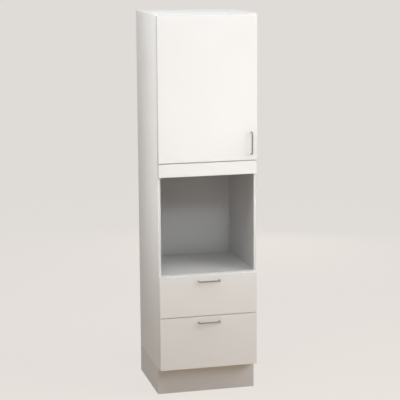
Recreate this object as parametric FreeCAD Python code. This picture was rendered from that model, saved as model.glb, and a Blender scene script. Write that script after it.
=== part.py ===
import FreeCAD, Part
import math
import os

from FreeCAD import Vector

# Tall kitchen cabinet for a built-in oven: a hinged cupboard door above, a fixed filler strip, an open oven
# niche, two drawers and a recessed plinth. Millimetres, +Z up, the fronts face -Y, +X is the viewer's right.
# The origin is on the floor, in the middle of the width and of the whole depth with the handles.

# Carcass
CABINET_WIDTH = 600.0
CARCASS_DEPTH = 560.0
CARCASS_HEIGHT = 2112.0
BOARD = 16.0
BOARD_EDGE_RADIUS = 0.8
BACK_THICKNESS = 3.0
BACK_INSET = 5.0
GROOVE_DEPTH = 7.0
GROOVE_PLAY = 0.3
WALL_RAIL_HEIGHT = 96.0
WALL_HOLE_RADIUS = 3.0
WALL_HOLE_SPACING = 400.0
WALL_HOLE_WINDOW = 24.0
OVEN_VENT = 35.0

# Plinth and legs
PLINTH_HEIGHT = 166.0
PLINTH_RECESS = 55.0
PLINTH_TOP_GAP = 1.0
LEG_REACH = 49.0
LEG_BACK_INSET = 70.0
LEG_RADIUS = 15.0
FOOT_RADIUS = 27.0
FOOT_RISE = 12.0
SOCKET_PLATE = 66.0
SOCKET_PLATE_THICKNESS = 4.0
SOCKET_CORNER = 12.0
SOCKET_WALL = 4.0
SOCKET_DEPTH = 34.0
SOCKET_PLAY = 0.1
CLIP_WALL = 3.0
CLIP_PLAY = 0.3
CLIP_PLATE_WIDTH = 36.0
CLIP_HEIGHT = 20.0
CLIP_CORNER = 8.0
CLIP_MOUTH = 22.0
CLIP_LOW = 52.0
CLIP_STEP = 30.0

# Fronts
FRONT_THICKNESS = 19.0
FRONT_STANDOFF = 2.0
FRONT_SIDE_REVEAL = 2.0
FRONT_BOTTOM_REVEAL = 2.0
FRONT_TOP_REVEAL = 7.0
FRONT_GAP = 4.0
FRONT_EDGE_RADIUS = 1.5
LOWER_FRONT_HEIGHT = 319.0
UPPER_FRONT_HEIGHT = 249.0
OVEN_OPENING_HEIGHT = 597.0
FILLER_HEIGHT = 79.0
OVEN_SHELF_LAP = 9.0

# Handles
HANDLE_CENTRES = 128.0
HANDLE_PROJECTION = 32.0
HANDLE_WIDTH = 9.0
HANDLE_THICKNESS = 7.0
HANDLE_BEND = 14.0
HANDLE_EDGE_CUT = 1.5
HANDLE_FROM_TOP = 34.0
DOOR_HANDLE_INSET = 37.0
SCREW_RADIUS = 2.0
SCREW_PLAY = 0.05
SCREW_HOLE_PLAY = 0.5
SCREW_GRIP = 10.0
SCREW_END_GAP = 1.0
SCREW_HEAD_RADIUS = 4.0
SCREW_HEAD_HEIGHT = 2.4

# Door hinges
HINGE_INSET = 100.0
HINGE_PIN_INSET = 6.5
HINGE_PIN_DEPTH = 9.0
HINGE_PIN_RADIUS = 1.25
HINGE_PIN_LENGTH = 14.0
HINGE_PIN_PLAY = 0.05
KNUCKLE_RADIUS = 2.4
KNUCKLE_PLAY = 0.3
CUP_RADIUS = 17.5
CUP_PLAY = 0.1
CUP_EDGE = 3.0
CUP_DEPTH = 13.0
CUP_WALL = 1.5
CUP_PIN_SEAT = 3.5
CUP_FLANGE = 1.2
CUP_FLANGE_RIM = 1.5
CUP_FLANGE_SETBACK = 1.5
CUP_EAR_LENGTH = 61.0
CUP_EAR_WIDTH = 14.0
CUP_EAR_OFFSET = 5.0
NECK_WIDTH = 9.4
NECK_PLAY = 0.3
NECK_SHEET = 1.4
NECK_THICKNESS = 2.0
NECK_BEND = 2.0
PLATE_THICKNESS = 3.5
PLATE_SCREW_LINE = 37.0
PLATE_SCREW_SPACING = 32.0
PLATE_WING_WIDTH = 14.0
PLATE_WING_CORNER = 4.0
ARM_START = 6.0
ARM_LENGTH = 58.0
ARM_WIDTH = 17.0
ARM_HEIGHT = 8.0
ARM_WALL = 1.5
ARM_PLAY = 0.3
ARM_END_CORNER = 5.0
ARM_TOP_CORNER = 1.5

# Loose shelves on pins
SHELF_SETBACK = 20.0
SHELF_BACK_GAP = 2.0
SHELF_SIDE_GAP = 1.0
SHELF_COUNT = 2
PIN_PITCH = 32.0
PIN_ROW_INSET = 37.0
PIN_ROW_MARGIN = 64.0
PIN_SPARE_HOLES = 1
PIN_HOLE_RADIUS = 2.5
PIN_HOLE_DEPTH = 11.0
PIN_PLAY = 0.05
PIN_PEG = 9.0

# Cam fittings that hold the boards together
CAM_RADIUS = 7.5
CAM_DEPTH = 12.5
CAM_PLAY = 0.05
CAM_REACH = 34.0
CAM_INSET = 64.0
CAM_BOLT_RADIUS = 3.0
CAM_BOLT_PLAY = 0.4
CAM_THREAD_LENGTH = 11.0

# Drawers and runners
DRAWER_REAR_GAP = 54.0
DRAWER_LIFT = 16.0
LOWER_SIDE_HEIGHT = 190.0
UPPER_SIDE_HEIGHT = 140.0
DRAWER_SIDE_WIDTH = 13.0
DRAWER_SIDE_SHEET = 1.0
DRAWER_SIDE_RADIUS = 5.0
DRAWER_BACK_DROP = 10.0
RUNNER_SPACE = 12.7
RUNNER_START = 4.0
RUNNER_END_GAP = 4.0
RUNNER_HEIGHT = 45.0
RUNNER_LIFT = 8.0
RUNNER_SHEET = 1.2
RUNNER_FLANGE = 9.0
RUNNER_LIP = 2.0
RUNNER_PLAY = 0.5
RACE_GAP = 2.6
CAGE_LENGTH = 240.0
CAGE_PLAY = 0.3

# Sheet-steel brackets behind the filler and the drawer fronts
BRACKET_SHEET = 2.0
BRACKET_LEG = 38.0
BRACKET_WIDTH = 40.0
BRACKET_BEND = 3.0
FILLER_BRACKET_REACH = 180.0

# Door bumpers
BUMPER_RADIUS = 4.0
BUMPER_PLAY = 0.1
BUMPER_INSET = 30.0

# Places worked out from the driving sizes
half_width = CABINET_WIDTH / 2
inner_half = half_width - BOARD
total_depth = HANDLE_PROJECTION + FRONT_THICKNESS + FRONT_STANDOFF + CARCASS_DEPTH
front_face = HANDLE_PROJECTION - total_depth / 2
front_back = front_face + FRONT_THICKNESS
carcass_front = front_back + FRONT_STANDOFF
carcass_back = carcass_front + CARCASS_DEPTH
back_rear = carcass_back - BACK_INSET
back_front = back_rear - BACK_THICKNESS
carcass_bottom = PLINTH_HEIGHT
carcass_top = carcass_bottom + CARCASS_HEIGHT

lower_front_z = carcass_bottom + FRONT_BOTTOM_REVEAL
upper_front_z = lower_front_z + LOWER_FRONT_HEIGHT + FRONT_GAP
niche_z = upper_front_z + UPPER_FRONT_HEIGHT
filler_z = niche_z + OVEN_OPENING_HEIGHT
door_z = filler_z + FILLER_HEIGHT + FRONT_GAP
door_top = carcass_top - FRONT_TOP_REVEAL
oven_shelf_z = niche_z - OVEN_SHELF_LAP
cupboard_floor_z = door_z - FRONT_GAP / 2 - BOARD / 2

front_left = FRONT_SIDE_REVEAL - half_width
front_right = -front_left
pin_x = front_left + HINGE_PIN_INSET
pin_y = front_back - HINGE_PIN_DEPTH
cup_x = front_left + CUP_EDGE + CUP_RADIUS
hinge_heights = {"lower": door_z + HINGE_INSET, "upper": door_top - HINGE_INSET}

pin_row_z = hinge_heights["lower"] + PIN_ROW_MARGIN
pin_rows = (carcass_front + PIN_ROW_INSET, back_front - PIN_ROW_INSET)
pin_steps = int((hinge_heights["upper"] - PIN_ROW_MARGIN - pin_row_z) / PIN_PITCH)
shelf_steps = [round(pin_steps * (shelf + 1) / (SHELF_COUNT + 1)) for shelf in range(SHELF_COUNT)]
pin_heights = [pin_row_z + step * PIN_PITCH for step in shelf_steps]

cam_rows = (carcass_front + CAM_INSET, back_front - OVEN_VENT - CAM_INSET)
plinth_face = carcass_front + PLINTH_RECESS
plinth_back = plinth_face + BOARD
plinth_top = PLINTH_HEIGHT - PLINTH_TOP_GAP
leg_x = half_width - BOARD - LEG_REACH
leg_front_y = plinth_back + LEG_REACH
leg_back_y = carcass_back - LEG_BACK_INSET

box_half = inner_half - RUNNER_SPACE
box_rear = back_front - DRAWER_REAR_GAP
runner_front = carcass_front + RUNNER_START
runner_length = box_rear - RUNNER_END_GAP - runner_front

UP = Vector(0, 0, 1)
BACKWARD = Vector(0, 1, 0)
FORWARD = Vector(0, -1, 0)
RIGHT = Vector(1, 0, 0)
ORIGIN = Vector(0, 0, 0)
ON_FACE = 1e-6
FLAT_COUNT = 8
FOOT_FLAT_COUNT = 16
KNUCKLE_FLAT_COUNT = 12

nodes = {}
side_bores = {-1: [], 1: []}


def block(x0, x1, y0, y1, z0, z1):
    """A board between two opposite corners, given in either order."""
    low = Vector(min(x0, x1), min(y0, y1), min(z0, z1))
    return Part.makeBox(abs(x1 - x0), abs(y1 - y0), abs(z1 - z0), low)


def rod(radius, start, end):
    """A round bar from one point to another."""
    return Part.makeCylinder(radius, (end - start).Length, start, end - start)


def flatted(radius, start, end, flats=FLAT_COUNT):
    """A bar with flats, which stands for a round one where small fittings and their holes repeat."""
    corner = radius / math.cos(math.pi / flats)
    angles = [(index + 0.5) * 2 * math.pi / flats for index in range(flats)]
    points = [Vector(corner * math.cos(angle), corner * math.sin(angle), 0) for angle in angles]
    bar = prism(points, UP * (end - start).Length)
    bar.Placement = FreeCAD.Placement(start, FreeCAD.Rotation(UP, end - start))
    return bar


def prism(points, direction):
    """A straight extrusion of a closed outline."""
    outline = Part.makePolygon(points + points[:1])
    return Part.Face(outline).extrude(direction)


def on_plane(edge, axis, value):
    """Whether an edge lies in the plane where one coordinate has a value."""
    return all(abs(getattr(vertex.Point, axis) - value) < ON_FACE for vertex in edge.Vertexes)


def eased(solid, radius, axis, *values):
    """Rounds every edge that lies in one of the planes."""
    chosen = [edge for edge in solid.Edges if any(on_plane(edge, axis, value) for value in values)]
    return solid.makeFillet(radius, chosen)


def upright_edges(solid, x=None, y=None):
    """The vertical edges of a solid, at a given X or Y where one is stated."""
    found = []
    for edge in solid.Edges:
        low, high = edge.Vertexes[0].Point, edge.Vertexes[-1].Point
        upright = abs(low.x - high.x) < ON_FACE and abs(low.y - high.y) < ON_FACE
        if upright and (x is None or abs(low.x - x) < ON_FACE) and (y is None or abs(low.y - y) < ON_FACE):
            found.append(edge)
    return found


def add(name, *shapes):
    """Puts the solids of each shape in a named node."""
    for shape in shapes:
        nodes.setdefault(name, []).extend(shape.Solids)


def cam_places(z, facing):
    """Where a fixed board's four cams sit: side, depth and the height of the board's bored face."""
    bored = z + BOARD if facing > 0 else z
    return [(side, y, bored) for side in (-1, 1) for y in cam_rows]


def fixed_board(name, z, y_end, facing, groove_at=None):
    """A board held between the sides by four cam fittings, bored in its upper or lower face."""
    board = block(-inner_half, inner_half, carcass_front, y_end, z, z + BOARD)
    board = eased(board, BOARD_EDGE_RADIUS, "y", carcass_front)
    if groove_at is not None:
        board = board.cut(block(-inner_half, inner_half, back_front - GROOVE_PLAY, back_rear + GROOVE_PLAY,
                                groove_at, groove_at + GROOVE_DEPTH))
    for side, y, bored in cam_places(z, facing):
        seat = Vector(side * (inner_half - CAM_REACH), y, bored)
        axis = Vector(0, 0, -facing)
        middle = Vector(seat.x, y, z + BOARD / 2)
        entry = Vector(side * inner_half, y, z + BOARD / 2)
        anchor = Vector(side * (inner_half + CAM_THREAD_LENGTH), y, z + BOARD / 2)
        rim = middle + RIGHT * side * (CAM_RADIUS - CAM_PLAY)
        board = board.cut(flatted(CAM_RADIUS, seat, seat + axis * CAM_DEPTH))
        board = board.cut(flatted(CAM_BOLT_RADIUS + CAM_BOLT_PLAY, middle, entry))
        add("cam_locks", flatted(CAM_RADIUS - CAM_PLAY, seat, seat + axis * CAM_DEPTH))
        add("cam_bolts", flatted(CAM_BOLT_RADIUS, rim, anchor))
        side_bores[side].append(flatted(CAM_BOLT_RADIUS, entry, anchor))
    add(name, board)


def make_carcass():
    """The boards of the box: top, bottom, two fixed shelves, back, wall rail and both sides."""
    fixed_board("top_panel", carcass_top - BOARD, carcass_back, 1, carcass_top - BOARD)
    fixed_board("bottom_panel", carcass_bottom, carcass_back, -1, carcass_bottom + BOARD - GROOVE_DEPTH)
    fixed_board("oven_shelf", oven_shelf_z, back_front - OVEN_VENT, -1)
    fixed_board("cupboard_floor", cupboard_floor_z, back_front - GROOVE_PLAY, -1)

    rail_z = carcass_top - BOARD - WALL_RAIL_HEIGHT
    rail = block(-inner_half, inner_half, back_front - BOARD, back_front, rail_z, rail_z + WALL_RAIL_HEIGHT)
    reach = inner_half + GROOVE_DEPTH - GROOVE_PLAY
    back = block(-reach, reach, back_front, back_rear,
                 carcass_bottom + BOARD - GROOVE_DEPTH + GROOVE_PLAY,
                 carcass_top - BOARD + GROOVE_DEPTH - GROOVE_PLAY)
    for side in (-1, 1):
        hole_x = side * WALL_HOLE_SPACING / 2
        hole_z = rail_z + WALL_RAIL_HEIGHT / 2
        mouth = Vector(hole_x, back_front - BOARD, hole_z)
        rail = rail.cut(rod(WALL_HOLE_RADIUS, mouth, mouth + BACKWARD * BOARD))
        window = WALL_HOLE_WINDOW / 2
        back = back.cut(block(hole_x - window, hole_x + window, back_front, back_rear,
                              hole_z - window, hole_z + window))
    add("wall_rail", rail)
    add("back_panel", back)

    for side, name in ((-1, "side_panel_left"), (1, "side_panel_right")):
        make_side(side, name)


def make_side(side, name):
    """A side panel with its back groove, cam-bolt bores, shelf-pin rows and, at the left, hinge bores."""
    board = block(side * inner_half, side * half_width, carcass_front, carcass_back,
                  carcass_bottom, carcass_top)
    board = board.makeFillet(BOARD_EDGE_RADIUS, upright_edges(board, y=carcass_front))
    cuts = list(side_bores[side])
    cuts.append(block(side * inner_half, side * (inner_half + GROOVE_DEPTH), back_front - GROOVE_PLAY,
                      back_rear + GROOVE_PLAY, carcass_bottom, carcass_top))
    spares = range(-PIN_SPARE_HOLES, PIN_SPARE_HOLES + 1)
    places = [(y, z + step * PIN_PITCH) for y in pin_rows for z in pin_heights for step in spares]
    if side < 0:
        line = carcass_front + PLATE_SCREW_LINE
        spread = PLATE_SCREW_SPACING / 2
        places += [(line, z + step) for z in hinge_heights.values() for step in (-spread, spread)]
    for y, z in places:
        mouth = Vector(side * inner_half, y, z)
        cuts.append(flatted(PIN_HOLE_RADIUS, mouth, mouth + RIGHT * side * PIN_HOLE_DEPTH))
    add(name, board.cut(Part.makeCompound(cuts)))


def make_shelves():
    """Two loose shelves, each on four pins with a flat on top."""
    for name, pin_z in zip(("loose_shelf_lower", "loose_shelf_upper"), pin_heights):
        z = pin_z + PIN_HOLE_RADIUS - PIN_PLAY
        reach = inner_half - SHELF_SIDE_GAP
        setback = carcass_front + SHELF_SETBACK
        shelf = block(-reach, reach, setback, back_front - SHELF_BACK_GAP, z, z + BOARD)
        add(name, eased(shelf, BOARD_EDGE_RADIUS, "y", setback))
        for side in (-1, 1):
            for y in pin_rows:
                add("shelf_pins", make_shelf_pin(side, y, pin_z))


def make_shelf_pin(side, y, z):
    """A pin pushed to the bottom of its hole in a side panel, with a flat on top where the shelf rests."""
    inward = RIGHT * -side
    mouth = Vector(side * inner_half, y, z)
    return flatted(PIN_HOLE_RADIUS - PIN_PLAY, mouth - inward * PIN_HOLE_DEPTH, mouth + inward * PIN_PEG)


def make_base():
    """Plinth boards, four adjustable legs in their sockets, and the clips between them."""
    add("plinth_front", eased(block(-half_width, half_width, plinth_face, plinth_back, 0, plinth_top),
                              BOARD_EDGE_RADIUS, "y", plinth_face))
    for side, name in ((-1, "plinth_side_left"), (1, "plinth_side_right")):
        add(name, block(side * half_width, side * inner_half, plinth_back, carcass_back, 0, plinth_top))

    plate_z = PLINTH_HEIGHT - SOCKET_PLATE_THICKNESS
    for row, y in (("front", leg_front_y), ("back", leg_back_y)):
        for side in (-1, 1):
            centre = Vector(side * leg_x, y, 0)
            foot = flatted(FOOT_RADIUS, centre, centre + UP * FOOT_RISE, FOOT_FLAT_COUNT)
            stem = flatted(LEG_RADIUS, centre + UP * FOOT_RISE, centre + UP * plate_z)
            add("legs", foot.fuse(stem).removeSplitter())
            add("leg_sockets", make_socket(centre))
            add("plinth_clips", make_clip(centre, RIGHT * side, CLIP_LOW))
            if row == "front":
                add("plinth_clips", make_clip(centre, FORWARD, CLIP_LOW + CLIP_STEP))


def make_socket(leg):
    """A leg socket under the bottom panel: a square plate with cut corners and a sleeve round the leg."""
    plate_z = PLINTH_HEIGHT - SOCKET_PLATE_THICKNESS
    reach = SOCKET_PLATE / 2
    cut = reach - SOCKET_CORNER
    corners = [(reach, -cut), (reach, cut), (cut, reach), (-cut, reach), (-reach, cut), (-reach, -cut),
               (-cut, -reach), (cut, -reach)]
    plate = prism([leg + Vector(x, y, plate_z) for x, y in corners], UP * SOCKET_PLATE_THICKNESS)
    mouth = leg + UP * (PLINTH_HEIGHT - SOCKET_DEPTH)
    bore = LEG_RADIUS + SOCKET_PLAY
    sleeve = flatted(bore + SOCKET_WALL, mouth, leg + UP * plate_z)
    return plate.fuse(sleeve).cut(flatted(bore, mouth, leg + UP * plate_z)).removeSplitter()


def make_clip(leg, facing, z):
    """A spring clip: a plate on a plinth board's back, a web, and a jaw that snaps round the leg."""
    inner = LEG_RADIUS + CLIP_PLAY
    outer = inner + CLIP_WALL
    seat = CLIP_WALL - LEG_REACH
    foot = CLIP_PLATE_WIDTH / 2
    half_web = CLIP_WALL
    right = [(half_web, seat), (half_web, -outer), (outer - CLIP_CORNER, -outer),
             (outer, CLIP_CORNER - outer), (outer, inner - CLIP_WALL)]
    left = [(-x, y) for x, y in reversed(right)]
    outline = [(-foot, -LEG_REACH), (foot, -LEG_REACH), (foot, seat)] + right + left + [(-foot, seat)]
    clip = prism([Vector(x, y, 0) for x, y in outline], UP * CLIP_HEIGHT)
    mouth = block(-CLIP_MOUTH / 2, CLIP_MOUTH / 2, 0, 2 * outer, 0, CLIP_HEIGHT)
    clip = clip.cut(flatted(inner, ORIGIN, UP * CLIP_HEIGHT)).cut(mouth)
    clip.Placement = FreeCAD.Placement(leg + UP * z, FreeCAD.Rotation(FORWARD, facing))
    return clip


def front_board(z0, z1):
    """A painted front with softly rounded edges all round both faces."""
    board = block(front_left, front_right, front_face, front_back, z0, z1)
    return eased(board, FRONT_EDGE_RADIUS, "y", front_face, front_back)


def make_bracket(width):
    """An angle of bent sheet along X: one leg stands in the XZ plane, the other lies in the XY plane."""
    angle = prism([Vector(0, 0, 0), Vector(0, BRACKET_LEG, 0), Vector(0, BRACKET_LEG, -BRACKET_SHEET),
                   Vector(0, BRACKET_SHEET, -BRACKET_SHEET), Vector(0, BRACKET_SHEET, -BRACKET_LEG),
                   Vector(0, 0, -BRACKET_LEG)], RIGHT * width)
    hollow = [edge for edge in angle.Edges
              if on_plane(edge, "y", BRACKET_SHEET) and on_plane(edge, "z", -BRACKET_SHEET)]
    angle = angle.makeFillet(BRACKET_BEND - BRACKET_SHEET, hollow)
    bend = [edge for edge in angle.Edges if on_plane(edge, "y", 0) and on_plane(edge, "z", 0)]
    return angle.makeFillet(BRACKET_BEND, bend)


def make_filler():
    """The fixed strip over the niche, hung from the cupboard floor by two brackets."""
    add("filler_panel", front_board(filler_z, filler_z + FILLER_HEIGHT))
    for side in (-1, 1):
        bracket = make_bracket(BRACKET_WIDTH)
        x = side * FILLER_BRACKET_REACH - BRACKET_WIDTH / 2
        bracket.Placement = FreeCAD.Placement(Vector(x, front_back, cupboard_floor_z), FreeCAD.Rotation())
        add("filler_brackets", bracket)


def make_handle(centre, along):
    """A bow handle: a flat steel bar bent at both ends to stand on its two feet, with its edges eased."""
    half = HANDLE_CENTRES / 2 + HANDLE_THICKNESS / 2
    gap_half = half - HANDLE_THICKNESS
    gap = HANDLE_PROJECTION - HANDLE_THICKNESS
    outline = [(-half, 0), (-half, HANDLE_PROJECTION), (half, HANDLE_PROJECTION), (half, 0),
               (gap_half, 0), (gap_half, gap), (-gap_half, gap), (-gap_half, 0)]
    low = -HANDLE_WIDTH / 2
    bow = prism([Vector(x, -out, low) for x, out in outline], UP * HANDLE_WIDTH)
    bow = bow.makeFillet(HANDLE_BEND, [edge for x in (-half, half)
                                       for edge in upright_edges(bow, x, -HANDLE_PROJECTION)])
    bow = bow.makeFillet(HANDLE_BEND - HANDLE_THICKNESS, [edge for x in (-gap_half, gap_half)
                                                          for edge in upright_edges(bow, x, -gap)])
    rims = [edge for edge in bow.Edges if on_plane(edge, "z", low) or on_plane(edge, "z", -low)]
    outer_rims = [edge for edge in rims if edge.BoundBox.YMin < -gap - ON_FACE
                  or max(edge.BoundBox.XMax, -edge.BoundBox.XMin) > half - ON_FACE]
    bow = bow.makeChamfer(HANDLE_EDGE_CUT, [edge for edge in outer_rims if not on_plane(edge, "y", 0)])
    for x in (-HANDLE_CENTRES / 2, HANDLE_CENTRES / 2):
        base = Vector(x, 0, 0)
        end = base + FORWARD * (SCREW_GRIP + SCREW_END_GAP)
        bow = bow.cut(flatted(SCREW_RADIUS + SCREW_PLAY, base, end))
    turn = FreeCAD.Rotation(BACKWARD, -90) if along == UP else FreeCAD.Rotation()
    bow.Placement = FreeCAD.Placement(centre, turn)
    return bow


def fit_handle(prefix, board, centre, along):
    """Fits a handle and its two screws to a front; gives the front back with its holes."""
    add(prefix + "_handle", make_handle(centre, along))
    for side in (-1, 1):
        base = centre + along * (side * HANDLE_CENTRES / 2)
        seat = base + BACKWARD * FRONT_THICKNESS
        board = board.cut(flatted(SCREW_RADIUS + SCREW_HOLE_PLAY, base, seat))
        screw = flatted(SCREW_RADIUS, base - BACKWARD * SCREW_GRIP, seat)
        head = flatted(SCREW_HEAD_RADIUS, seat, seat + BACKWARD * SCREW_HEAD_HEIGHT)
        add(prefix + "_handle_screws", screw.fuse(head).removeSplitter())
    return board


def make_door():
    """The cupboard door with its cup bores, handle, bumpers and hinges."""
    board = front_board(door_z, door_top)
    for z in hinge_heights.values():
        mouth = Vector(cup_x, front_back, z)
        board = board.cut(rod(CUP_RADIUS, mouth, mouth - BACKWARD * (CUP_DEPTH + CUP_PLAY)))
    handle_z = door_z + DOOR_HANDLE_INSET + HANDLE_CENTRES / 2
    centre = Vector(front_right - DOOR_HANDLE_INSET, front_face, handle_z)
    add("door_panel", fit_handle("door", board, centre, UP))
    for z in (door_z + BUMPER_INSET, door_top - BUMPER_INSET):
        base = Vector(half_width - BOARD / 2, front_back, z)
        add("door_bumpers", flatted(BUMPER_RADIUS, base, base + BACKWARD * (FRONT_STANDOFF - BUMPER_PLAY)))
    for z in hinge_heights.values():
        make_hinge(z)


def make_hinge(z):
    """One concealed hinge: a hollow cup in the door turns on a pin that the carcass's arm carries."""
    slot_half = NECK_WIDTH / 2 + NECK_PLAY
    slot_radius = KNUCKLE_RADIUS + KNUCKLE_PLAY
    flange_top = front_back + CUP_FLANGE
    floor_y = pin_y - slot_radius
    mouth = Vector(cup_x, front_back, z)
    cup = rod(CUP_RADIUS - CUP_PLAY, mouth, mouth - BACKWARD * CUP_DEPTH)
    trim = pin_x - CUP_FLANGE_SETBACK
    rim = CUP_RADIUS + CUP_FLANGE_RIM
    ear = cup_x + CUP_EAR_OFFSET - CUP_EAR_WIDTH / 2
    tip = CUP_EAR_LENGTH / 2
    far_ear = ear + CUP_EAR_WIDTH
    right = [(far_ear, -tip), (cup_x + rim, -rim / 2), (cup_x + rim, rim / 2), (far_ear, tip)]
    left = [(ear, tip), (trim, rim / 2), (trim, -rim / 2), (ear, -tip)]
    flange = prism([Vector(x, front_back, z + height) for x, height in right + left], BACKWARD * CUP_FLANGE)
    hollow = rod(CUP_RADIUS - CUP_PLAY - CUP_WALL, Vector(cup_x, floor_y, z), Vector(cup_x, flange_top, z))
    hollow = hollow.common(block(pin_x + CUP_PIN_SEAT, cup_x + CUP_RADIUS, floor_y, flange_top,
                                 z - CUP_RADIUS, z + CUP_RADIUS))
    slot = block(pin_x, cup_x, floor_y, flange_top, z - slot_half, z + slot_half)
    pin_low = Vector(pin_x, pin_y, z - HINGE_PIN_LENGTH / 2)
    pin_high = pin_low + UP * HINGE_PIN_LENGTH
    slot_low = Vector(pin_x, pin_y, z - slot_half)
    slot_end = flatted(slot_radius, slot_low, slot_low + UP * 2 * slot_half, KNUCKLE_FLAT_COUNT)
    slot_side = block(pin_x - slot_radius, pin_x, pin_y, flange_top, z - slot_half, z + slot_half)
    cup = cup.fuse(flange).cut(hollow.fuse([slot, slot_end, slot_side]))
    pin_bore = flatted(HINGE_PIN_RADIUS + HINGE_PIN_PLAY, pin_low, pin_high, KNUCKLE_FLAT_COUNT)
    add("hinge_cups", cup.cut(pin_bore).removeSplitter())
    add("hinge_pins", rod(HINGE_PIN_RADIUS, pin_low, pin_high))
    add("hinge_arms", make_hinge_arm(z))
    add("hinge_plates", make_hinge_plate(z))


def make_hinge_arm(z):
    """The hinge arm: a cranked neck that reaches round to the pin, and a folded cover over the plate."""
    neck_x = PLATE_THICKNESS - inner_half
    low = z - NECK_WIDTH / 2
    start = carcass_front + ARM_START
    front_low = pin_y - KNUCKLE_RADIUS
    neck_far = neck_x + NECK_THICKNESS
    neck_end = start + ARM_WALL
    outline = [(pin_x, front_low), (neck_far, front_low), (neck_far, neck_end), (neck_x, neck_end),
               (neck_x, front_low + NECK_SHEET), (pin_x, front_low + NECK_SHEET)]
    neck = prism([Vector(x, y, low) for x, y in outline], UP * NECK_WIDTH)
    neck = neck.makeFillet(NECK_BEND, upright_edges(neck, x=neck_far, y=front_low))
    centre = Vector(pin_x, pin_y, low)
    knuckle = rod(KNUCKLE_RADIUS, centre, centre + UP * NECK_WIDTH)
    top = neck_x + ARM_HEIGHT
    cover = block(neck_x, top, start, start + ARM_LENGTH, z - ARM_WIDTH / 2, z + ARM_WIDTH / 2)
    rear = start + ARM_LENGTH
    lengthwise = [edge for edge in cover.Edges if on_plane(edge, "y", rear) and not on_plane(edge, "x", top)
                  and not on_plane(edge, "x", neck_x)]
    cover = cover.makeChamfer(ARM_END_CORNER, lengthwise)
    cover = cover.makeChamfer(ARM_TOP_CORNER, [edge for edge in cover.Edges if on_plane(edge, "x", top)])
    inside_half = ARM_WIDTH / 2 - ARM_WALL
    inside = block(neck_x, top - ARM_WALL, start + ARM_WALL, rear - ARM_END_CORNER,
                   z - inside_half, z + inside_half)
    arm = cover.cut(inside).fuse([neck, knuckle]).cut(rod(HINGE_PIN_RADIUS, centre, centre + UP * NECK_WIDTH))
    return arm.removeSplitter()


def make_hinge_plate(z):
    """The mounting plate on the side panel: two tapered wings with screw holes, and a ridge under the arm."""
    base = -inner_half
    line = carcass_front + PLATE_SCREW_LINE
    start = carcass_front + ARM_START
    half_arm = ARM_WIDTH / 2
    spread = PLATE_SCREW_SPACING / 2
    body = block(base, base + PLATE_THICKNESS, start, start + ARM_LENGTH, z - half_arm, z + half_arm)
    wide = PLATE_WING_WIDTH / 2
    narrow = wide - PLATE_WING_CORNER
    tip = spread + wide
    upper = [(wide, tip - PLATE_WING_CORNER), (narrow, tip), (-narrow, tip), (-wide, tip - PLATE_WING_CORNER)]
    lower = [(-across, -height) for across, height in upper]
    wings = prism([Vector(base, line + across, z + height) for across, height in upper + lower],
                  RIGHT * PLATE_THICKNESS)
    holes = []
    for step in (-spread, spread):
        centre = Vector(base, line, z + step)
        holes.append(flatted(PIN_HOLE_RADIUS, centre, centre + RIGHT * PLATE_THICKNESS))
    ridge_half = half_arm - ARM_WALL - ARM_PLAY
    ridge_top = base + PLATE_THICKNESS + ARM_HEIGHT - ARM_WALL - ARM_PLAY
    ridge_end = start + ARM_LENGTH - ARM_END_CORNER - ARM_PLAY
    ridge = block(base, ridge_top, start + ARM_WALL + ARM_PLAY, ridge_end, z - ridge_half, z + ridge_half)
    return body.fuse([wings, ridge]).cut(Part.makeCompound(holes)).removeSplitter()


def channel(web, edge, half_height, lip=0.0):
    """The section of a rolled rail: a web beside the side panel and two flanges from it to an edge."""
    step = RUNNER_SHEET if edge > web else -RUNNER_SHEET
    inner = half_height - RUNNER_SHEET
    lower = [(web + step, -inner), (edge, -inner), (edge, -half_height), (web, -half_height)]
    if lip:
        lower = [(web + step, -inner), (edge - step, -inner), (edge - step, lip - inner), (edge, lip - inner),
                 (edge, -half_height), (web, -half_height)]
    upper = [(out, -height) for out, height in reversed(lower)]
    return lower + upper


def make_rails(name, z, section):
    """A left and a right rail of one section, drawn from each side panel's inner face."""
    for side in (-1, 1):
        points = [Vector(side * (inner_half - out), runner_front, z + height) for out, height in section]
        add(name, prism(points, BACKWARD * runner_length))


def make_cages(name, z, web, edge, half_height):
    """The ball cages above and below a rail: flat strips in the races between it and the rail round it."""
    front = runner_front + (runner_length - CAGE_LENGTH) / 2
    low = half_height + CAGE_PLAY
    high = half_height + RACE_GAP - CAGE_PLAY
    for side in (-1, 1):
        start = side * (inner_half - web - RUNNER_SHEET - CAGE_PLAY)
        end = side * (inner_half - edge + RUNNER_SHEET + CAGE_PLAY)
        for way in (-1, 1):
            add(name, block(start, end, front, front + CAGE_LENGTH, z + way * low, z + way * high))


def make_runners(level, z):
    """Three nested rails on each side, outer on the carcass, middle between and inner on the drawer, with
    ball cages in the races between them."""
    step = RUNNER_SHEET + RUNNER_PLAY
    outer = RUNNER_HEIGHT / 2
    middle = outer - RUNNER_SHEET - RACE_GAP
    inner = middle - RUNNER_SHEET - RACE_GAP
    edge = RUNNER_FLANGE - step
    make_rails("runner_outer_" + level, z, channel(0, RUNNER_FLANGE, outer, RUNNER_LIP))
    make_rails("runner_middle_" + level, z, channel(step, edge, middle, RUNNER_LIP))
    make_rails("runner_inner_" + level, z, channel(RUNNER_SPACE, 2 * step, inner))
    make_cages("ball_cages_outer_" + level, z, 0, RUNNER_FLANGE, middle)
    make_cages("ball_cages_inner_" + level, z, step, edge, inner)


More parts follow.
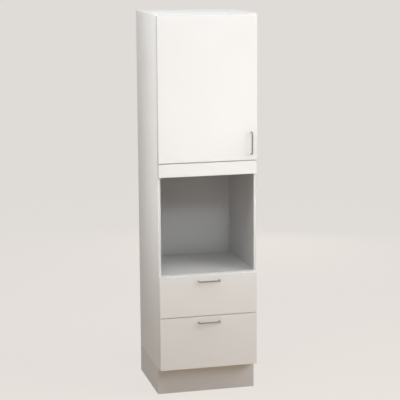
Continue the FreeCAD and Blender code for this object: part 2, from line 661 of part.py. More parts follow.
def make_drawer_side(side, z, height):
    """A hollow folded steel side, rounded along its top and open below."""
    outer_x = side * box_half
    inner_x = side * (box_half - DRAWER_SIDE_WIDTH)
    wall = side * DRAWER_SIDE_SHEET
    shell = block(outer_x, inner_x, front_back, box_rear, z, z + height)
    top = [edge for edge in shell.Edges if on_plane(edge, "z", z + height)
           and not on_plane(edge, "y", front_back) and not on_plane(edge, "y", box_rear)]
    shell = shell.makeFillet(DRAWER_SIDE_RADIUS, top)
    core_top = z + height - DRAWER_SIDE_SHEET
    core = block(outer_x - wall, inner_x + wall, front_back, box_rear, z, core_top)
    top = [edge for edge in core.Edges if on_plane(edge, "z", core_top)
           and not on_plane(edge, "y", front_back) and not on_plane(edge, "y", box_rear)]
    return shell.cut(core.makeFillet(DRAWER_SIDE_RADIUS - DRAWER_SIDE_SHEET, top))


def make_drawer(level, front_z, front_height, side_height):
    """A drawer: front with handle, bottom, hollow steel sides, back, front brackets and runners."""
    prefix = level + "_drawer"
    front_top = front_z + front_height
    centre = Vector(0, front_face, front_top - HANDLE_FROM_TOP)
    add(prefix + "_front", fit_handle(prefix, front_board(front_z, front_top), centre, RIGHT))
    bottom_z = front_z + FRONT_EDGE_RADIUS + DRAWER_LIFT
    floor_z = bottom_z + BOARD
    inside = box_half - DRAWER_SIDE_WIDTH
    add(prefix + "_bottom", block(-box_half, box_half, front_back, box_rear, bottom_z, floor_z))
    add(prefix + "_back", block(-inside, inside, box_rear - BOARD, box_rear, floor_z,
                                floor_z + side_height - DRAWER_BACK_DROP))
    for side, hand in ((-1, "left"), (1, "right")):
        add(prefix + "_side_" + hand, make_drawer_side(side, floor_z, side_height))
        bracket = make_bracket(BRACKET_WIDTH)
        turn = FreeCAD.Rotation(BACKWARD, 90 * side)
        low = floor_z + BRACKET_WIDTH if side > 0 else floor_z
        bracket.Placement = FreeCAD.Placement(Vector(side * inside, front_back, low), turn)
        add(prefix + "_brackets", bracket)
    make_runners(level, floor_z + RUNNER_LIFT + RUNNER_HEIGHT / 2)


make_carcass()
make_shelves()
make_base()
make_filler()
make_door()
make_drawer("upper", upper_front_z, UPPER_FRONT_HEIGHT, UPPER_SIDE_HEIGHT)
make_drawer("lower", lower_front_z, LOWER_FRONT_HEIGHT, LOWER_SIDE_HEIGHT)

os.makedirs("parts", exist_ok=True)
for node_name, node_solids in nodes.items():
    node_shape = node_solids[0] if len(node_solids) == 1 else Part.makeCompound(node_solids)
    node_shape.exportStep("parts/" + node_name + ".step")
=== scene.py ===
import math

import bmesh
import bpy
from mathutils import Matrix, Vector


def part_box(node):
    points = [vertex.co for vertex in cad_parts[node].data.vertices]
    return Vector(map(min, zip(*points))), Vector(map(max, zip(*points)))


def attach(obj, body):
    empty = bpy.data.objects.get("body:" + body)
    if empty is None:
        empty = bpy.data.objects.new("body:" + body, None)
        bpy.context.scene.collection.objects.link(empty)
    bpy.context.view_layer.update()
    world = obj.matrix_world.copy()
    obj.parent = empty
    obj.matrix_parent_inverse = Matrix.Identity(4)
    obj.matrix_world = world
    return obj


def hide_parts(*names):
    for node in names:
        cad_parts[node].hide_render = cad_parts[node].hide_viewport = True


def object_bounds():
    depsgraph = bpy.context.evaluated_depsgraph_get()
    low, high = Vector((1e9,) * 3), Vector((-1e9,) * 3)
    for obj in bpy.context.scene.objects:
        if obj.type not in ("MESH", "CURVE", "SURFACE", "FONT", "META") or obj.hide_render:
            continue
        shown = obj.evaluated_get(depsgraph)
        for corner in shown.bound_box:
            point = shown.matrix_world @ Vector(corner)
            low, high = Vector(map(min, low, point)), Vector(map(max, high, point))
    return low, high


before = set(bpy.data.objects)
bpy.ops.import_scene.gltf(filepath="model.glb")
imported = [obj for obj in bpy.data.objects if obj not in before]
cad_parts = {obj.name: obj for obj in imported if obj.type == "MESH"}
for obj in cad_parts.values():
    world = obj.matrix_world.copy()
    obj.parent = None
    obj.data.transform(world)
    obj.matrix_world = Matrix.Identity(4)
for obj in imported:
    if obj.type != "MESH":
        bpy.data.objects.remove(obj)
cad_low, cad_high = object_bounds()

# Looks of a tall white oven cabinet: lacquered fronts, melamine boards, steel handles, hinges and runners.
# Metres, in the model's own frame: +Z up, the fronts face -Y, the floor is at Z 0.

MM = 0.001
UP = Vector((0, 0, 1))
DOWN = Vector((0, 0, -1))
BACKWARD = Vector((0, 1, 0))
RIGHT = Vector((1, 0, 0))
LEFT = Vector((-1, 0, 0))

# Camera, fitted to the edges of the cabinet in the 400 pixel frame
CAMERA_PLACE = Vector((-1.9603, -7.9391, 2.6838))
CAMERA_YAW = math.radians(13.991)
CAMERA_PITCH = math.radians(10.67)
CAMERA_ROLL = math.radians(-0.374)
FRAME_PIXELS = 400
FOCAL_PIXELS = 1368.6
SENSOR_WIDTH = 36.0

# Boards and fronts: greys, some of them painted darker as shade, how a board's grey shifts between darker
# and lighter patches, and edges
BOARD_TONE = 0.84
# Painted shade: the plinth front under the drawers' overhang is painted darker
PLINTH_SHADE_TONE = 0.70
# Painted shade: the plinth's side returns are painted darker, as shade low near the floor
RETURN_SHADE_TONE = 0.74
# Painted shade: the inside of the cabinet is painted this darker grey
INNER_SHADE_TONE = 0.595
# Painted shade: the banded front edges of the boards are painted this darker grey
BAND_SHADE_TONE = 0.70
# Painted shade: the door's edge at the hinge gap and the edges at the door and filler gap are painted this
# grey
FRONT_EDGE_SHADE_TONE = 0.45
BOARD_SHADES = ((1.0, 1.0, 0.992), (1.015, 1.015, 1.01))
INNER_SHADES = (1.0, 1.015)
RAW_ROUGHNESS = 0.4
EDGE_BAND = 0.8 * MM
BARE_EDGE = 0.2 * MM
FRONT_ARRIS = 0.25 * MM
FRONT_EDGE_REACH = 2 * MM

# Colours of the finishes; most are a darker and a lighter tone. Brushed and rolled lines are drawn out.
LINE_STRETCH = 0.02
LACQUER_TONES = ((0.895, 0.893, 0.884), (0.912, 0.911, 0.905))
CHIP_TONES = ((0.30, 0.19, 0.10), (0.62, 0.46, 0.29))
CHIP_DUST = (0.50, 0.37, 0.23)
FIBRE_TONES = ((0.33, 0.215, 0.13), (0.47, 0.325, 0.21))
FIBRE_FLECKS = (0.58, 0.43, 0.29)
BRUSHED_TONES = ((0.27, 0.264, 0.257), (0.39, 0.382, 0.373))
SPANGLE_TONES = ((0.59, 0.60, 0.615), (0.655, 0.665, 0.68))
ROLLING_LINES = (0.50, 0.51, 0.525)
ZINC_TONES = ((0.56, 0.57, 0.58), (0.72, 0.72, 0.71))
NICKEL_TONES = ((0.66, 0.645, 0.61), (0.72, 0.70, 0.665))
BALL_TONES = ((0.68, 0.68, 0.68), (0.76, 0.76, 0.76))
POWDER_TONES = ((0.72, 0.725, 0.73), (0.76, 0.76, 0.76))
DARK_PLASTIC_TONES = ((0.020, 0.020, 0.021), (0.035, 0.035, 0.036))
SOFT_PLASTIC_TONES = ((0.72, 0.72, 0.70), (0.80, 0.80, 0.78))
FLOOR_TONES = ((0.60, 0.465, 0.335), (0.61, 0.475, 0.345))

# Floor and light
FLOOR_HALF = 200.0
FLOOR_ROUGHNESS = 0.85
FLOOR_GLOW = 0.8
BACKGROUND_TONE = (0.71, 0.685, 0.665)
WORLD_STRENGTH = 0.15
SKY_TINT = (0.98, 0.99, 1.0)
LAMP_TINT = (0.99, 0.99, 0.988)
OPEN = math.pi
# The one lamp that shows in gloss; the others only fill
GLOSS_LAMP = "key"
# Each lamp: its name, its place, what it is aimed at, its width and height, its power and its beam's angle
LAMPS = (("key", (2.5, -1.9, 2.8), (0.0, -0.2, 1.7), 2.4, 2.4, 84.0, OPEN),
         ("high_left", (-2.2, 0.1, 3.5), (0.0, 0.0, 1.8), 1.4, 1.4, 16.0, OPEN),
         ("left_front", (-1.35, -2.7, 1.8), (-0.2, -0.2, 1.4), 1.0, 1.0, 9.2, OPEN),
         ("left_steep", (-1.0, -1.5, 3.7), (0.1, -0.2, 0.9), 1.0, 1.0, 23.0, OPEN),
         ("overhead", (0.0, -0.3, 4.2), (0.0, 0.0, 2.2), 1.6, 1.6, 16.0, OPEN),
         ("rear_fill", (1.6, 4.2, 1.3), (0.0, 0.3, 1.2), 1.6, 1.6, 30.0, OPEN),
         ("side_strip", (-3.0, -0.28, 1.94), (-0.3, -0.32, 1.89), 0.4, 2.22, 2.16, math.radians(30)),
         ("front_beam", (0.2, -3.6, 3.2), (-0.03, -0.27, 1.35), 0.8, 0.8, 0.86, math.radians(26)))

# Handles
HANDLE_THICKNESS = 7 * MM
HANDLE_BEND = 14 * MM
HANDLE_BEND_STEPS = 14
HANDLE_EASING = 2.2 * MM
HANDLE_EASING_STEPS = 6

# Screws: the radius and height of each kind of head, the shape of heads and slots, and their places
BOARD_SCREW = (3.4 * MM, 2.0 * MM)
PLATE_SCREW = (4.2 * MM, 2.4 * MM)
EAR_SCREW = (3.6 * MM, 2.0 * MM)
ADJUSTER = (3.2 * MM, 1.0 * MM)
SCREW_SIDES = 24
SCREW_RINGS = 5
SCREW_SEED = 3
SCREW_CROWN = 0.6
ADJUSTER_CROWN = 0.2
SLOT_SHARE = 0.62
CAM_SLOT_SHARE = 0.66
BLADE_SHARE = 0.26
DEPTH_SHARE = 0.6
SOCKET_PLATE = 4 * MM
SOCKET_SCREW_REACH = 26 * MM
PLATE_WING = 3.5 * MM
PLATE_SCREW_LINE = 31 * MM
PLATE_SCREW_STEP = 16 * MM
EAR_SCREW_LINE = 20.5 * MM
EAR_SCREW_STEP = 24 * MM
ARM_SCREW_LINES = (16 * MM, 46 * MM)
BRACKET_SHEET = 2 * MM
BRACKET_SCREW_LINE = 24 * MM
BRACKET_SCREW_EDGE = 10 * MM

# Turned fittings
TURNED_SIDES = 48
FLUTE_SIDES = 4
SMOOTH_ANGLE = math.radians(32)
# Door bumper: shares of its radius and of its height
DOME_PROFILE = ((0, 0), (1, 0), (1, 0.25), (0.93, 0.55), (0.78, 0.82), (0.55, 0.96), (0.3, 1), (0, 1))
# Shelf pin: shares of its radius, and lengths
PIN_POINT = 0.7
PIN_POINT_LENGTH = 0.5 * MM
PIN_COLLAR = 1.7
PIN_COLLAR_TOP = 1.5
PIN_COLLAR_SIDE = 0.6 * MM
PIN_COLLAR_HEIGHT = 0.8 * MM
PIN_TIP = 0.75
PIN_TIP_LENGTH = 0.6 * MM
# Leg: shares of the foot's radius at heights, where True marks a fluted row; then the stem and its tube
FOOT_HEIGHT = 12 * MM
FOOT_PROFILE = ((0, 0), (0.9, 0), (1, 1.5 * MM, True), (1, 9 * MM, True), (0.94, 11 * MM, True),
                (0.62, FOOT_HEIGHT))
FOOT_FLUTE = 1.2 * MM
LEG_RADIUS = 15 * MM
LEG_TUBE_FROM = 46 * MM
LEG_TUBE_RIM = 0.96
LEG_TUBE_EASING = 0.8 * MM
# Thread of the leg: shares of the stem's radius and of one turn
THREAD_PITCH = 3.2 * MM
THREAD_ROOT = 0.86
THREAD_CREST = 0.98
THREAD_PROFILE = ((THREAD_ROOT, 0.15), (THREAD_CREST, 0.45), (THREAD_CREST, 0.60), (THREAD_ROOT, 0.95))

# Runners
BALL_RADIUS = 1.3 * MM
BALL_DETAIL = 3
BALL_SPACING = 16 * MM
BALL_END = 8 * MM

# Corners within this grid belong to one solid
SOLID_GRID = 1e-5

# Sockets found by number, since others on their node share their names
MIX_FACTOR = 0
MIX_FIRST = 6
MIX_SECOND = 7
MIX_COLOUR = 2
CHANCE_LEAST = 2
CHANCE_MOST = 3
CHANCE_SEED = 8
CHANCE_VALUE = 1

scene = bpy.context.scene


def add_node(tree, kind, inputs=None, **settings):
    """A node with its settings and inputs: a socket is linked, and any other value is set."""
    made = tree.nodes.new(kind)
    for name, value in settings.items():
        setattr(made, name, value)
    for name, value in (inputs or {}).items():
        socket = made.inputs[name]
        if isinstance(value, bpy.types.NodeSocket):
            tree.links.new(value, socket)
        else:
            socket.default_value = value
    return made


def calc(tree, operation, *values):
    """One sum in a node tree."""
    return add_node(tree, "ShaderNodeMath", dict(enumerate(values)), operation=operation).outputs[0]


def new_material(name, metallic=0.0):
    """A material with its tree, its main shader and its object coordinates."""
    material = bpy.data.materials.new(name)
    material.use_nodes = True
    tree = material.node_tree
    tree.nodes.clear()
    shader = add_node(tree, "ShaderNodeBsdfPrincipled", {"Metallic": metallic})
    add_node(tree, "ShaderNodeOutputMaterial", {"Surface": shader.outputs["BSDF"]})
    place = add_node(tree, "ShaderNodeTexCoord").outputs["Object"]
    return material, tree, shader, place


def stretched(tree, place, stretch):
    """Coordinates for a pattern; a stretch above 1 squeezes it along that axis, and below 1 draws it out."""
    return add_node(tree, "ShaderNodeMapping", {"Vector": place, "Scale": stretch}).outputs["Vector"]


def cloud(tree, place, scale, detail=2.0, stretch=(1, 1, 1)):
    """Soft noise from 0 to 1."""
    noise = add_node(tree, "ShaderNodeTexNoise",
                     {"Vector": stretched(tree, place, stretch), "Scale": scale, "Detail": detail})
    return noise.outputs["Fac"]


def cells(tree, place, scale, stretch=(1, 1, 1)):
    """Two random values from 0 to 1 for each cell of a broken pattern."""
    pattern = add_node(tree, "ShaderNodeTexVoronoi",
                       {"Vector": stretched(tree, place, stretch), "Scale": scale})
    shares = add_node(tree, "ShaderNodeSeparateColor", {"Color": pattern.outputs["Color"]})
    return shares.outputs["Red"], shares.outputs["Green"]


def spread(tree, value, low=0.0, high=1.0, start=0.3, end=0.7):
    """A value between start and end spread out between low and high."""
    ranged = add_node(tree, "ShaderNodeMapRange", {"Value": value, "From Min": start, "From Max": end,
                                                   "To Min": low, "To Max": high})
    return ranged.outputs["Result"]


def mixed(tree, factor, first, second):
    """Two colours mixed by a factor; each is a socket or a plain colour."""
    first, second = (value if isinstance(value, bpy.types.NodeSocket) else (*value, 1)
                     for value in (first, second))
    mix = add_node(tree, "ShaderNodeMix", {MIX_FACTOR: factor, MIX_FIRST: first, MIX_SECOND: second},
                   data_type="RGBA")
    return mix.outputs[MIX_COLOUR]


def patches(tree, place, tones, scale, detail=2.0):
    """A darker and a lighter tone in soft patches."""
    return mixed(tree, spread(tree, cloud(tree, place, scale, detail)), *tones)


def grey(tone):
    """An even grey."""
    return (tone, tone, tone)


def behind(tree, place, limit):
    """1 further back than a limit, and 0 before it."""
    parts = add_node(tree, "ShaderNodeSeparateXYZ", {"Vector": place})
    return calc(tree, "GREATER_THAN", parts.outputs["Y"], limit)


def inside_of(tree, place, low, high):
    """1 between two corners, and 0 outside."""
    parts = add_node(tree, "ShaderNodeSeparateXYZ", {"Vector": place})
    inside = 1.0
    for part, least, most in zip(parts.outputs, low, high):
        inside = calc(tree, "MULTIPLY", inside, calc(tree, "GREATER_THAN", part, least))
        inside = calc(tree, "MULTIPLY", inside, calc(tree, "LESS_THAN", part, most))
    return inside


def paint(tree, shader, colour, roughness, height, strength, depth):
    """Links a colour, a roughness and a bump: its height is from 0 to 1, and its depth in metres."""
    bump = add_node(tree, "ShaderNodeBump", {"Height": height, "Strength": strength, "Distance": depth})
    tree.links.new(colour, shader.inputs["Base Color"])
    tree.links.new(roughness, shader.inputs["Roughness"])
    tree.links.new(bump.outputs["Normal"], shader.inputs["Normal"])


def lacquered_front(name, edges=()):
    """Satin white lacquer with a faint orange peel, and edges painted grey as shade in the door's gaps, each
    between two corners.
    """
    material, tree, shader, place = new_material(name)
    colour = patches(tree, place, LACQUER_TONES, scale=3.0)
    for low, high in edges:
        # painted shade: the edges at the gaps are painted grey
        colour = mixed(tree, inside_of(tree, place, low, high), colour, grey(FRONT_EDGE_SHADE_TONE))
    roughness = spread(tree, cloud(tree, place, scale=24.0, detail=4.0), low=0.30, high=0.38)
    peel = cloud(tree, place, scale=900.0, detail=1.0)
    paint(tree, shader, colour, roughness, peel, strength=0.08, depth=0.1 * MM)
    return material


def raw_chips(tree, place):
    """The raw face of chipboard: the colour of its pressed chips, and their uneven height."""
    tone, height = cells(tree, place, scale=420.0, stretch=(1.0, 1.0, 2.2))
    dust = spread(tree, cloud(tree, place, scale=1500.0, detail=3.0), high=0.5)
    return mixed(tree, dust, mixed(tree, tone, *CHIP_TONES), CHIP_DUST), height


def melamine_board(name, tone, inner=None, shaded_band_to=None, raw_from=None):
    """White melamine with a fine pearl grain: painted greyer as shade between two inner corners and on the
    banded front edge, and raw chipboard on a rear edge that is left bare."""
    material, tree, shader, place = new_material(name)
    shade = spread(tree, cloud(tree, place, scale=2.0))
    colour = mixed(tree, shade, *([tone * share for share in shares] for shares in BOARD_SHADES))
    # painted shade: greyer inside the cabinet
    if inner is not None:
        painted_shade_colour = mixed(tree, shade, *(grey(INNER_SHADE_TONE * share) for share in INNER_SHADES))
        colour = mixed(tree, inside_of(tree, place, *inner), colour, painted_shade_colour)
    # painted shade: the banded front edge is greyer
    if shaded_band_to is not None:
        colour = mixed(tree, behind(tree, place, shaded_band_to), grey(BAND_SHADE_TONE), colour)
    roughness = spread(tree, cloud(tree, place, scale=60.0, detail=3.0), low=0.42, high=0.52)
    height = cloud(tree, place, scale=700.0)
    if raw_from is not None:
        raw = behind(tree, place, raw_from)
        chips, chip_height = raw_chips(tree, place)
        colour = mixed(tree, raw, colour, chips)
        roughness = calc(tree, "MULTIPLY_ADD", raw, RAW_ROUGHNESS, roughness)
        height = calc(tree, "MULTIPLY_ADD", raw, chip_height, height)
    paint(tree, shader, colour, roughness, height, strength=0.12, depth=0.12 * MM)
    return material


def hardboard_back(brown_from):
    """Thin fibreboard: the inner grey on the inside, painted as shade, and bare brown fibres towards the
    wall.
    """
    material, tree, shader, place = new_material("hardboard_back")
    bare = behind(tree, place, brown_from)
    fibres = spread(tree, cloud(tree, place, scale=260.0, detail=6.0, stretch=(1.0, 1.0, 1.6)))
    flecks = spread(tree, cloud(tree, place, scale=1300.0), high=0.45, start=0.5, end=0.8)
    brown = mixed(tree, flecks, mixed(tree, fibres, *FIBRE_TONES), FIBRE_FLECKS)
    # painted shade: the inside of the back takes the inner grey
    colour = mixed(tree, bare, grey(INNER_SHADE_TONE), brown)
    roughness = spread(tree, bare, low=0.44, high=0.82, start=0.0, end=1.0)
    paint(tree, shader, colour, roughness, fibres, strength=0.12, depth=0.15 * MM)
    return material


def brushed_steel(name, along):
    """Steel brushed along one axis."""
    material, tree, shader, place = new_material(name, metallic=1.0)
    stretch = [LINE_STRETCH if axis == along else 1.0 for axis in "xyz"]
    lines = cloud(tree, place, scale=2600.0, detail=3.0, stretch=stretch)
    colour = mixed(tree, spread(tree, lines), *BRUSHED_TONES)
    roughness = spread(tree, lines, low=0.24, high=0.38)
    paint(tree, shader, colour, roughness, lines, strength=0.10, depth=0.05 * MM)
    return material


def galvanised_steel():
    """Zinc-coated sheet: rolling lines along its length over a faint spangle."""
    material, tree, shader, place = new_material("galvanised_steel", metallic=1.0)
    tone, gloss = cells(tree, place, scale=260.0)
    lines = cloud(tree, place, scale=1500.0, detail=3.0, stretch=(1.0, LINE_STRETCH, 1.0))
    spangle = mixed(tree, tone, *SPANGLE_TONES)
    colour = mixed(tree, spread(tree, lines, high=0.6), spangle, ROLLING_LINES)
    roughness = spread(tree, gloss, low=0.33, high=0.41, start=0.0, end=1.0)
    paint(tree, shader, colour, roughness, lines, strength=0.08, depth=0.05 * MM)
    return material


def plated_metal(name, tones, smooth, matt):
    """Plated steel with a slightly uneven plating."""
    material, tree, shader, place = new_material(name, metallic=1.0)
    colour = patches(tree, place, tones, scale=90.0, detail=4.0)
    roughness = spread(tree, cloud(tree, place, scale=400.0, detail=3.0), smooth, matt)
    paint(tree, shader, colour, roughness, cloud(tree, place, scale=2000.0), strength=0.05, depth=0.03 * MM)
    return material


def powder_coat():
    """Light grey powder coat with its fine ripple."""
    material, tree, shader, place = new_material("powder_coat")
    ripple = cloud(tree, place, scale=650.0)
    colour = patches(tree, place, POWDER_TONES, scale=6.0)
    roughness = spread(tree, ripple, low=0.38, high=0.52)
    paint(tree, shader, colour, roughness, ripple, strength=0.18, depth=0.1 * MM)
    return material


def moulded_plastic(name, tones, smooth, matt):
    """Moulded plastic with a spark-eroded grain."""
    material, tree, shader, place = new_material(name)
    grain = cloud(tree, place, scale=1800.0, detail=3.0)
    colour = patches(tree, place, tones, scale=30.0, detail=3.0)
    paint(tree, shader, colour, spread(tree, grain, smooth, matt), grain, strength=0.15, depth=0.08 * MM)
    return material


def seen_rays(tree):
    """1 for rays that show the background, straight, in gloss or through glass; 0 for rays that light."""
    rays = add_node(tree, "ShaderNodeLightPath").outputs
    seen = calc(tree, "MAXIMUM", rays["Is Camera Ray"], rays["Is Glossy Ray"])
    return calc(tree, "MAXIMUM", seen, rays["Is Transmission Ray"])


def pale_floor():
    """A plain pale studio floor that keeps the shadow, and is seen lighter than it lights the cabinet."""
    material, tree, shader, place = new_material("pale_floor")
    shader.inputs["Roughness"].default_value = FLOOR_ROUGHNESS
    tree.links.new(patches(tree, place, FLOOR_TONES, scale=0.8, detail=3.0), shader.inputs["Base Color"])
    glow = add_node(tree, "ShaderNodeEmission",
                    {"Color": (*BACKGROUND_TONE, 1), "Strength": 1 / FLOOR_GLOW})
    share = calc(tree, "MULTIPLY", seen_rays(tree), FLOOR_GLOW)
    blend = add_node(tree, "ShaderNodeMixShader",
                     {0: share, 1: shader.outputs["BSDF"], 2: glow.outputs["Emission"]})
    output = next(node for node in tree.nodes if node.type == "OUTPUT_MATERIAL")
    tree.links.new(blend.outputs[0], output.inputs["Surface"])
    return material


def lay_floor():
    """A wide floor under the cabinet."""
    half = FLOOR_HALF
    corners = [(-half, -half, 0), (half, -half, 0), (half, half, 0), (-half, half, 0)]
    mesh = bpy.data.meshes.new("floor")
    mesh.from_pydata(corners, [], [(0, 1, 2, 3)])
    mesh.materials.append(pale_floor())
    floor = bpy.data.objects.new("floor", mesh)
    scene.collection.objects.link(floor)


def set_lights():
    """A faint sky and the lamps."""
    world = bpy.data.worlds.new("studio")
    world.use_nodes = True
    tree = world.node_tree
    background = tree.nodes["Background"]
    sky = [WORLD_STRENGTH * share for share in SKY_TINT]
    tree.links.new(mixed(tree, seen_rays(tree), sky, BACKGROUND_TONE), background.inputs["Color"])
    background.inputs["Strength"].default_value = 1.0
    scene.world = world

    for name, place, aim, width, height, power, beam in LAMPS:
        light = bpy.data.lights.new(name, "AREA")
        light.shape = "RECTANGLE"
        light.size = width
        light.size_y = height
        light.energy = power
        light.spread = beam
        light.color = LAMP_TINT
        lamp = bpy.data.objects.new(name, light)
        lamp.location = place
        lamp.rotation_euler = (Vector(aim) - Vector(place)).to_track_quat("-Z", "Y").to_euler()
        lamp.visible_camera = False
        lamp.visible_glossy = name == GLOSS_LAMP
        scene.collection.objects.link(lamp)


def set_camera():
    """The fitted camera."""
    camera = bpy.data.objects.new("camera", bpy.data.cameras.new("camera"))
    camera.data.sensor_width = SENSOR_WIDTH
    camera.data.lens = FOCAL_PIXELS / FRAME_PIXELS * SENSOR_WIDTH
    heading = Vector((math.sin(CAMERA_YAW), math.cos(CAMERA_YAW), 0))
    ahead = math.cos(CAMERA_PITCH) * heading - math.sin(CAMERA_PITCH) * UP
    level = Vector((heading.y, -heading.x, 0))
    tall = level.cross(ahead)
    across = math.cos(CAMERA_ROLL) * level + math.sin(CAMERA_ROLL) * tall
    upward = math.cos(CAMERA_ROLL) * tall - math.sin(CAMERA_ROLL) * level
    turn = Matrix((across, upward, -ahead)).transposed().to_4x4()
    camera.matrix_world = Matrix.Translation(CAMERA_PLACE) @ turn
    scene.collection.objects.link(camera)
    scene.camera = camera
    scene.view_settings.view_transform = "Standard"


def dress(material, *names):
    """Gives CAD nodes a finish."""
    for name in names:
        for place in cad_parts[name].material_slots:
            place.material = material


def solids_of(node):
    """The lowest and highest corners of each separate solid in a CAD node."""
    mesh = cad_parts[node].data
    keys = [tuple(round(value / SOLID_GRID) for value in vertex.co) for vertex in mesh.vertices]
    leader = {key: key for key in keys}

    def lead(key):
        while leader[key] != key:
            leader[key] = leader[leader[key]]
            key = leader[key]
        return key

    for face in mesh.polygons:
        first = lead(keys[face.vertices[0]])
        for index in face.vertices[1:]:
            leader[lead(keys[index])] = first
    places = {}
    for key, vertex in zip(keys, mesh.vertices):
        places.setdefault(lead(key), []).append(vertex.co)
    corners = [(Vector(map(min, zip(*group))), Vector(map(max, zip(*group)))) for group in places.values()]
    return sorted(corners, key=lambda pair: tuple(pair[0]))


def seat(solid, facing, rise=0.0, **put):
    """The place of a fitting and the way it faces: the middle of a solid, raised, with some coordinates put
    elsewhere."""
    low, high = solid
    place = (low + high) / 2 + rise * UP
    for axis, value in put.items():
        setattr(place, axis, value)
    return place, facing


def new_tree(name, sizes):
    """An empty geometry tree with named inputs; gives the tree and its input sockets."""
    tree = bpy.data.node_groups.new(name, "GeometryNodeTree")
    tree.interface.new_socket("Geometry", in_out="INPUT", socket_type="NodeSocketGeometry")
    for label, kind in sizes.items():
        tree.interface.new_socket(label, in_out="INPUT", socket_type="NodeSocket" + kind)
    tree.interface.new_socket("Material", in_out="INPUT", socket_type="NodeSocketMaterial")
    tree.interface.new_socket("Geometry", in_out="OUTPUT", socket_type="NodeSocketGeometry")
    return tree, add_node(tree, "NodeGroupInput").outputs


def end_tree(tree, geometry, material):
    """Ends a geometry tree in real, finished geometry."""
    real = add_node(tree, "GeometryNodeRealizeInstances", {"Geometry": geometry})
    finished = add_node(tree, "GeometryNodeSetMaterial",
                        {"Geometry": real.outputs[0], "Material": material})
    add_node(tree, "NodeGroupOutput", {"Geometry": finished.outputs[0]})


def vector_of(tree, x, y, z):
    """A vector made of three values."""
    return add_node(tree, "ShaderNodeCombineXYZ", {"X": x, "Y": y, "Z": z}).outputs[0]


def face_outwards(tree, seed=None):
    """The turn of a fitting on each point: its top looks where the point faces, and a seed spins it."""
    facing = add_node(tree, "GeometryNodeInputNamedAttribute", {"Name": "facing"}, data_type="FLOAT_VECTOR")
    turn = add_node(tree, "FunctionNodeAlignRotationToVector", {"Vector": facing.outputs[0]}, axis="Z")
    if seed is not None:
        chance = add_node(tree, "FunctionNodeRandomValue",
                          {CHANCE_LEAST: 0.0, CHANCE_MOST: math.pi, CHANCE_SEED: seed}, data_type="FLOAT")
        spin = add_node(tree, "FunctionNodeAxisAngleToRotation",
                        {"Axis": UP, "Angle": chance.outputs[CHANCE_VALUE]})
        turn = add_node(tree, "FunctionNodeRotateRotation", {0: turn.outputs[0], 1: spin.outputs[0]},
                        rotation_space="LOCAL")
    return turn.outputs[0]


def bow_tree():
    """A bar of rounded flat section along a bent path."""
    tree, given = new_tree("bow", {"Width": "Float", "Thickness": "Float", "Easing": "Float",
                                   "Bend": "Float"})
    path = add_node(tree, "GeometryNodeMeshToCurve", {"Mesh": given["Geometry"]})
    bent = add_node(tree, "GeometryNodeFilletCurve",
                    {"Curve": path.outputs[0], "Radius": given["Bend"], "Count": HANDLE_BEND_STEPS},
                    mode="POLY")
    upright = add_node(tree, "GeometryNodeSetCurveNormal", {"Curve": bent.outputs[0]}, mode="Z_UP")
    section = add_node(tree, "GeometryNodeCurvePrimitiveQuadrilateral",
                       {"Width": given["Thickness"], "Height": given["Width"]})
    eased = add_node(tree, "GeometryNodeFilletCurve",
                     {"Curve": section.outputs[0], "Radius": given["Easing"], "Count": HANDLE_EASING_STEPS},
                     mode="POLY")
    bar = add_node(tree, "GeometryNodeCurveToMesh",
                   {"Curve": upright.outputs[0], "Profile Curve": eased.outputs[0], "Fill Caps": True})
    end_tree(tree, bar.outputs[0], given["Material"])
    return tree


def screw_tree():
    """Round heads with a cross slot, one on each point: a crown of 0 is flat, and towards 1 it is domed."""
    tree, given = new_tree("screw", {"Radius": "Float", "Height": "Float", "Crown": "Float", "Slot": "Float",
                                     "Blade": "Float", "Depth": "Float", "Sides": "Int", "Seed": "Int"})
    drum = add_node(tree, "GeometryNodeMeshCylinder",
                    {"Vertices": given["Sides"], "Side Segments": SCREW_RINGS, "Radius": given["Radius"],
                     "Depth": given["Height"]})
    middle = vector_of(tree, 0.0, 0.0, calc(tree, "MULTIPLY", given["Height"], 0.5))
    raised = add_node(tree, "GeometryNodeTransform",
                      {"Geometry": drum.outputs["Mesh"], "Translation": middle})
    place = add_node(tree, "GeometryNodeInputPosition").outputs[0]
    parts = add_node(tree, "ShaderNodeSeparateXYZ", {"Vector": place}).outputs
    share = calc(tree, "DIVIDE", parts["Z"], given["Height"])
    taken = calc(tree, "MULTIPLY", calc(tree, "MULTIPLY", share, share), given["Crown"])
    narrow = calc(tree, "SQRT", calc(tree, "SUBTRACT", 1.0, taken))
    domed = add_node(tree, "GeometryNodeSetPosition", {
        "Geometry": raised.outputs[0],
        "Position": vector_of(tree, calc(tree, "MULTIPLY", parts["X"], narrow),
                              calc(tree, "MULTIPLY", parts["Y"], narrow), parts["Z"])})
    cut = add_node(tree, "GeometryNodeMeshBoolean", {0: domed.outputs[0]},
                   operation="DIFFERENCE", solver="EXACT")
    deep = calc(tree, "MULTIPLY", given["Depth"], 2.0)
    top = vector_of(tree, 0.0, 0.0, given["Height"])
    for size in ((given["Slot"], given["Blade"], deep), (given["Blade"], given["Slot"], deep)):
        blade = add_node(tree, "GeometryNodeMeshCube", {"Size": vector_of(tree, *size)})
        moved = add_node(tree, "GeometryNodeTransform",
                         {"Geometry": blade.outputs["Mesh"], "Translation": top})
        tree.links.new(moved.outputs[0], cut.inputs[1])
    set_heads = add_node(tree, "GeometryNodeInstanceOnPoints", {
        "Points": given["Geometry"], "Instance": cut.outputs[0],
        "Rotation": face_outwards(tree, given["Seed"])})
    end_tree(tree, set_heads.outputs[0], given["Material"])
    return tree


def copies_tree():
    """One copy of a fitting on each point."""
    tree, given = new_tree("copies", {"Fitting": "Object"})
    fitting = add_node(tree, "GeometryNodeObjectInfo", {"Object": given["Fitting"]})
    placed = add_node(tree, "GeometryNodeInstanceOnPoints", {
        "Points": given["Geometry"], "Instance": fitting.outputs["Geometry"],
        "Rotation": face_outwards(tree)})
    end_tree(tree, placed.outputs[0], given["Material"])
    return tree


